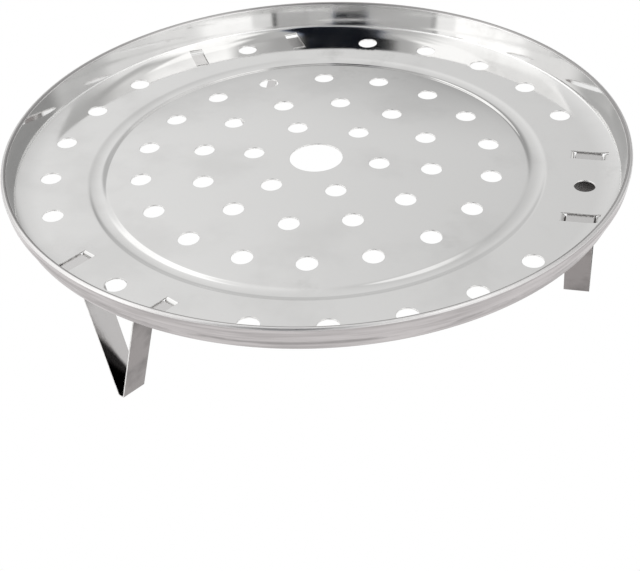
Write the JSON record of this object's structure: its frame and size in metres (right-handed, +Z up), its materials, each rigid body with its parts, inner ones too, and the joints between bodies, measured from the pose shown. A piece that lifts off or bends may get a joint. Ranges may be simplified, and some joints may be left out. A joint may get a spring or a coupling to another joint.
{
  "type": "steamer rack",
  "caption": "Round perforated steel tray with a low hemmed rim, standing on clip-in V-shaped strip legs, that holds food above boiling water in a pot.",
  "frame": {"origin": "on the table, under the middle of the tray", "axes": "+Z up along the tray's axis, +X towards the leg at the right of the picture"},
  "size_m": [0.24, 0.24, 0.06],
  "materials": {
    "tray_steel": "mirror polished stainless sheet",
    "leg_steel": "bright rolled stainless spring strip"
  },
  "bodies": {
    "tray": {"tray": "tray_steel"},
    "right_leg": {"right_leg": "leg_steel"},
    "rear_left_leg": {"rear_left_leg": "leg_steel"},
    "front_left_leg": {"front_left_leg": "leg_steel"}
  },
  "joints": [
    {"name": "right_leg_unclip", "type": "slide", "parent": "tray", "child": "right_leg", "axis": [0, 0, -1], "range_m": [0, 0.06], "deforming": ["right_leg"]},
    {"name": "rear_left_leg_unclip", "type": "slide", "parent": "tray", "child": "rear_left_leg", "axis": [0, 0, -1], "range_m": [0, 0.06], "deforming": ["rear_left_leg"]},
    {"name": "front_left_leg_unclip", "type": "slide", "parent": "tray", "child": "front_left_leg", "axis": [0, 0, -1], "range_m": [0, 0.06], "deforming": ["front_left_leg"]}
  ]
}
